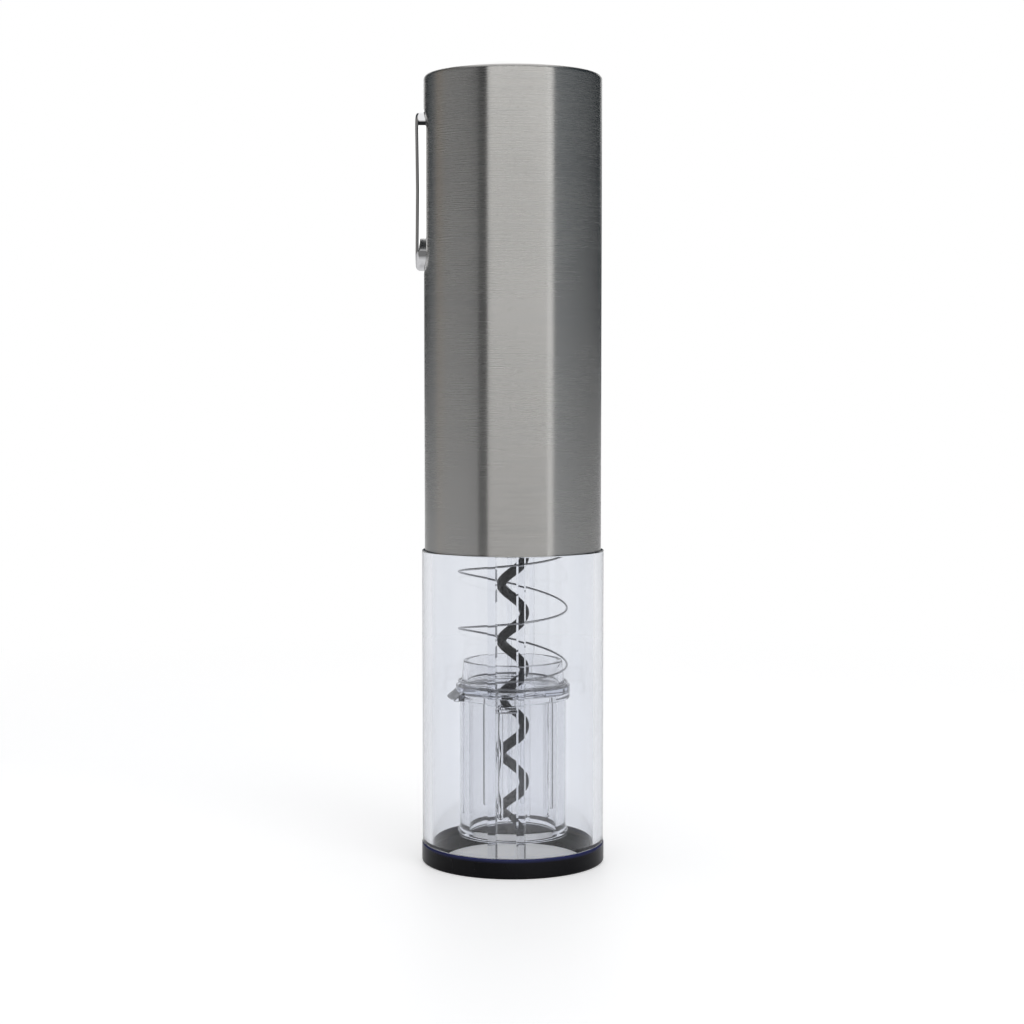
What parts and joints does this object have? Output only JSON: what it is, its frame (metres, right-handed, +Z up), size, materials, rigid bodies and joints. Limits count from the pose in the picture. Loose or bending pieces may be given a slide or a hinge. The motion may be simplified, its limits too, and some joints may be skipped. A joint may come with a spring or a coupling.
{
  "type": "electric wine opener",
  "caption": "Upright cordless wine opener: steel handle with side rocker, geared motor and battery, clear lower housing with sprung cork guide and worm.",
  "frame": {"origin": "centre of the face that the opener stands on", "axes": "+Z up along the opener, the switch on the -X side"},
  "size_m": [0.0514, 0.0502, 0.2184],
  "materials": {
    "ring_plastic": "gloss moulded, near black",
    "clear_plastic": "clear moulded plastic",
    "guide_plastic": "clear moulded plastic",
    "brushed_steel": "brushed round the tube",
    "cap_metal": "polished",
    "switch_chrome": "chrome-plated plastic",
    "gasket_rubber": "matt",
    "jack_plastic": "moulded",
    "nickel": "nickel-plated",
    "chassis_plastic": "moulded, fine texture",
    "screw_steel": "zinc-plated",
    "gearbox_plastic": "moulded",
    "bronze": "sintered bronze",
    "steel_plain": "turned",
    "gear_resin": "moulded acetal",
    "motor_zinc": "zinc-plated, drawn",
    "end_cap_plastic": "moulded",
    "brass": "turned",
    "ferrite": "sintered ferrite",
    "core_steel": "stacked laminations",
    "copper": "turned copper",
    "worm_coating": "black non-stick coating on steel wire",
    "hub_plastic": "moulded",
    "spring_steel": "drawn wire",
    "board_resin": "solder mask",
    "chip_resin": "moulded",
    "tact_plastic": "moulded",
    "plunger_plastic": "moulded",
    "pad_fibre": "fibre board",
    "cell_wrap": "shrink wrap"
  },
  "bodies": {
    "handle": {"base_ring": "ring_plastic", "battery_cell_1": "cell_wrap", "battery_cell_2": "cell_wrap", "battery_cell_3": "cell_wrap", "battery_cell_4": "cell_wrap", "battery_links": "nickel", "battery_pad_lower": "pad_fibre", "battery_pad_upper": "pad_fibre", "board_capacitor": "chip_resin", "charging_jack": "jack_plastic", "chassis_front": "chassis_plastic", "chassis_rear": "chassis_plastic", "chassis_screws": "screw_steel", "circuit_board": "board_resin", "clear_housing": "clear_plastic", "drive_transistors": "chip_resin", "forward_switch": "tact_plastic", "gearbox_cover": "gearbox_plastic", "gearbox_screws": "screw_steel", "jack_pin": "nickel", "motor_bush": "bronze", "motor_can": "motor_zinc", "motor_end_cap": "end_cap_plastic", "motor_magnets": "ferrite", "motor_plate": "steel_plain", "motor_screws": "screw_steel", "motor_terminals": "brass", "output_bush": "bronze", "reverse_switch": "tact_plastic", "ring_gear": "gear_resin", "rocker_pin": "steel_plain", "spring": "spring_steel", "steel_sleeve": "brushed_steel", "switch_bezel": "gasket_rubber", "thrust_washer": "steel_plain", "top_cap": "cap_metal"},
    "drive": {"output_carrier": "steel_plain", "lower_planet_pins": "steel_plain", "worm_hub": "hub_plastic", "worm": "worm_coating"},
    "first_stage": {"first_carrier": "steel_plain", "upper_planet_pins": "steel_plain"},
    "rotor": {"motor_shaft": "steel_plain", "motor_armature": "core_steel", "motor_commutator": "copper", "motor_pinion": "brass"},
    "guide": {"cork_guide": "guide_plastic"},
    "switch_rocker": {"rocker": "switch_chrome"},
    "forward_button": {"forward_plunger": "plunger_plastic"},
    "reverse_button": {"reverse_plunger": "plunger_plastic"},
    "lower_gear_1": {"lower_planet_1": "gear_resin"},
    "lower_gear_2": {"lower_planet_2": "gear_resin"},
    "lower_gear_3": {"lower_planet_3": "gear_resin"},
    "upper_gear_1": {"upper_planet_1": "gear_resin"},
    "upper_gear_2": {"upper_planet_2": "gear_resin"},
    "upper_gear_3": {"upper_planet_3": "gear_resin"}
  },
  "joints": [
    {"name": "rotor_turn", "type": "hinge", "parent": "handle", "child": "rotor", "pos_m": [0, 0, 0.14], "axis": [0, 0, 1], "continuous": true},
    {"name": "first_stage_turn", "type": "hinge", "parent": "handle", "child": "first_stage", "pos_m": [0, 0, 0.12], "axis": [0, 0, 1], "continuous": true},
    {"name": "worm_turn", "type": "hinge", "parent": "handle", "child": "drive", "pos_m": [0, 0, 0.1], "axis": [0, 0, 1], "continuous": true},
    {"name": "lower_gear_1_turn", "type": "hinge", "parent": "drive", "child": "lower_gear_1", "pos_m": [0, 0.0108, 0.1147], "axis": [0, 0, 1], "continuous": true},
    {"name": "lower_gear_2_turn", "type": "hinge", "parent": "drive", "child": "lower_gear_2", "pos_m": [-0.00935, -0.0054, 0.1147], "axis": [0, 0, 1], "continuous": true},
    {"name": "lower_gear_3_turn", "type": "hinge", "parent": "drive", "child": "lower_gear_3", "pos_m": [0.00935, -0.0054, 0.1147], "axis": [0, 0, 1], "continuous": true},
    {"name": "upper_gear_1_turn", "type": "hinge", "parent": "first_stage", "child": "upper_gear_1", "pos_m": [0, 0.0108, 0.1241], "axis": [0, 0, 1], "continuous": true},
    {"name": "upper_gear_2_turn", "type": "hinge", "parent": "first_stage", "child": "upper_gear_2", "pos_m": [-0.00935, -0.0054, 0.1241], "axis": [0, 0, 1], "continuous": true},
    {"name": "upper_gear_3_turn", "type": "hinge", "parent": "first_stage", "child": "upper_gear_3", "pos_m": [0.00935, -0.0054, 0.1241], "axis": [0, 0, 1], "continuous": true},
    {"name": "guide_slide", "type": "slide", "parent": "handle", "child": "guide", "axis": [0, 0, 1], "range_m": [0, 0.044], "stiffness_N_per_m": 120, "springref_m": -0.012, "deforming": ["spring"]},
    {"name": "rocker_tilt", "type": "hinge", "parent": "handle", "child": "switch_rocker", "pos_m": [-0.0203, 0, 0.1834], "axis": [0, 1, 0], "range_deg": [-3, 3], "stiffness_Nm_per_rad": 0.05},
    {"name": "forward_press", "type": "slide", "parent": "handle", "child": "forward_button", "axis": [1, 0, 0], "range_m": [0, 0.00025], "stiffness_N_per_m": 200},
    {"name": "reverse_press", "type": "slide", "parent": "handle", "child": "reverse_button", "axis": [1, 0, 0], "range_m": [0, 0.00025], "stiffness_N_per_m": 200}
  ],
  "couplings": [
    {"joint": "first_stage_turn", "follows": "rotor_turn", "ratio": 0.22222},
    {"joint": "worm_turn", "follows": "rotor_turn", "ratio": 0.049383},
    {"joint": "lower_gear_1_turn", "follows": "rotor_turn", "ratio": -0.13827},
    {"joint": "lower_gear_2_turn", "follows": "rotor_turn", "ratio": -0.13827},
    {"joint": "lower_gear_3_turn", "follows": "rotor_turn", "ratio": -0.13827},
    {"joint": "upper_gear_1_turn", "follows": "rotor_turn", "ratio": -0.62222},
    {"joint": "upper_gear_2_turn", "follows": "rotor_turn", "ratio": -0.62222},
    {"joint": "upper_gear_3_turn", "follows": "rotor_turn", "ratio": -0.62222}
  ]
}
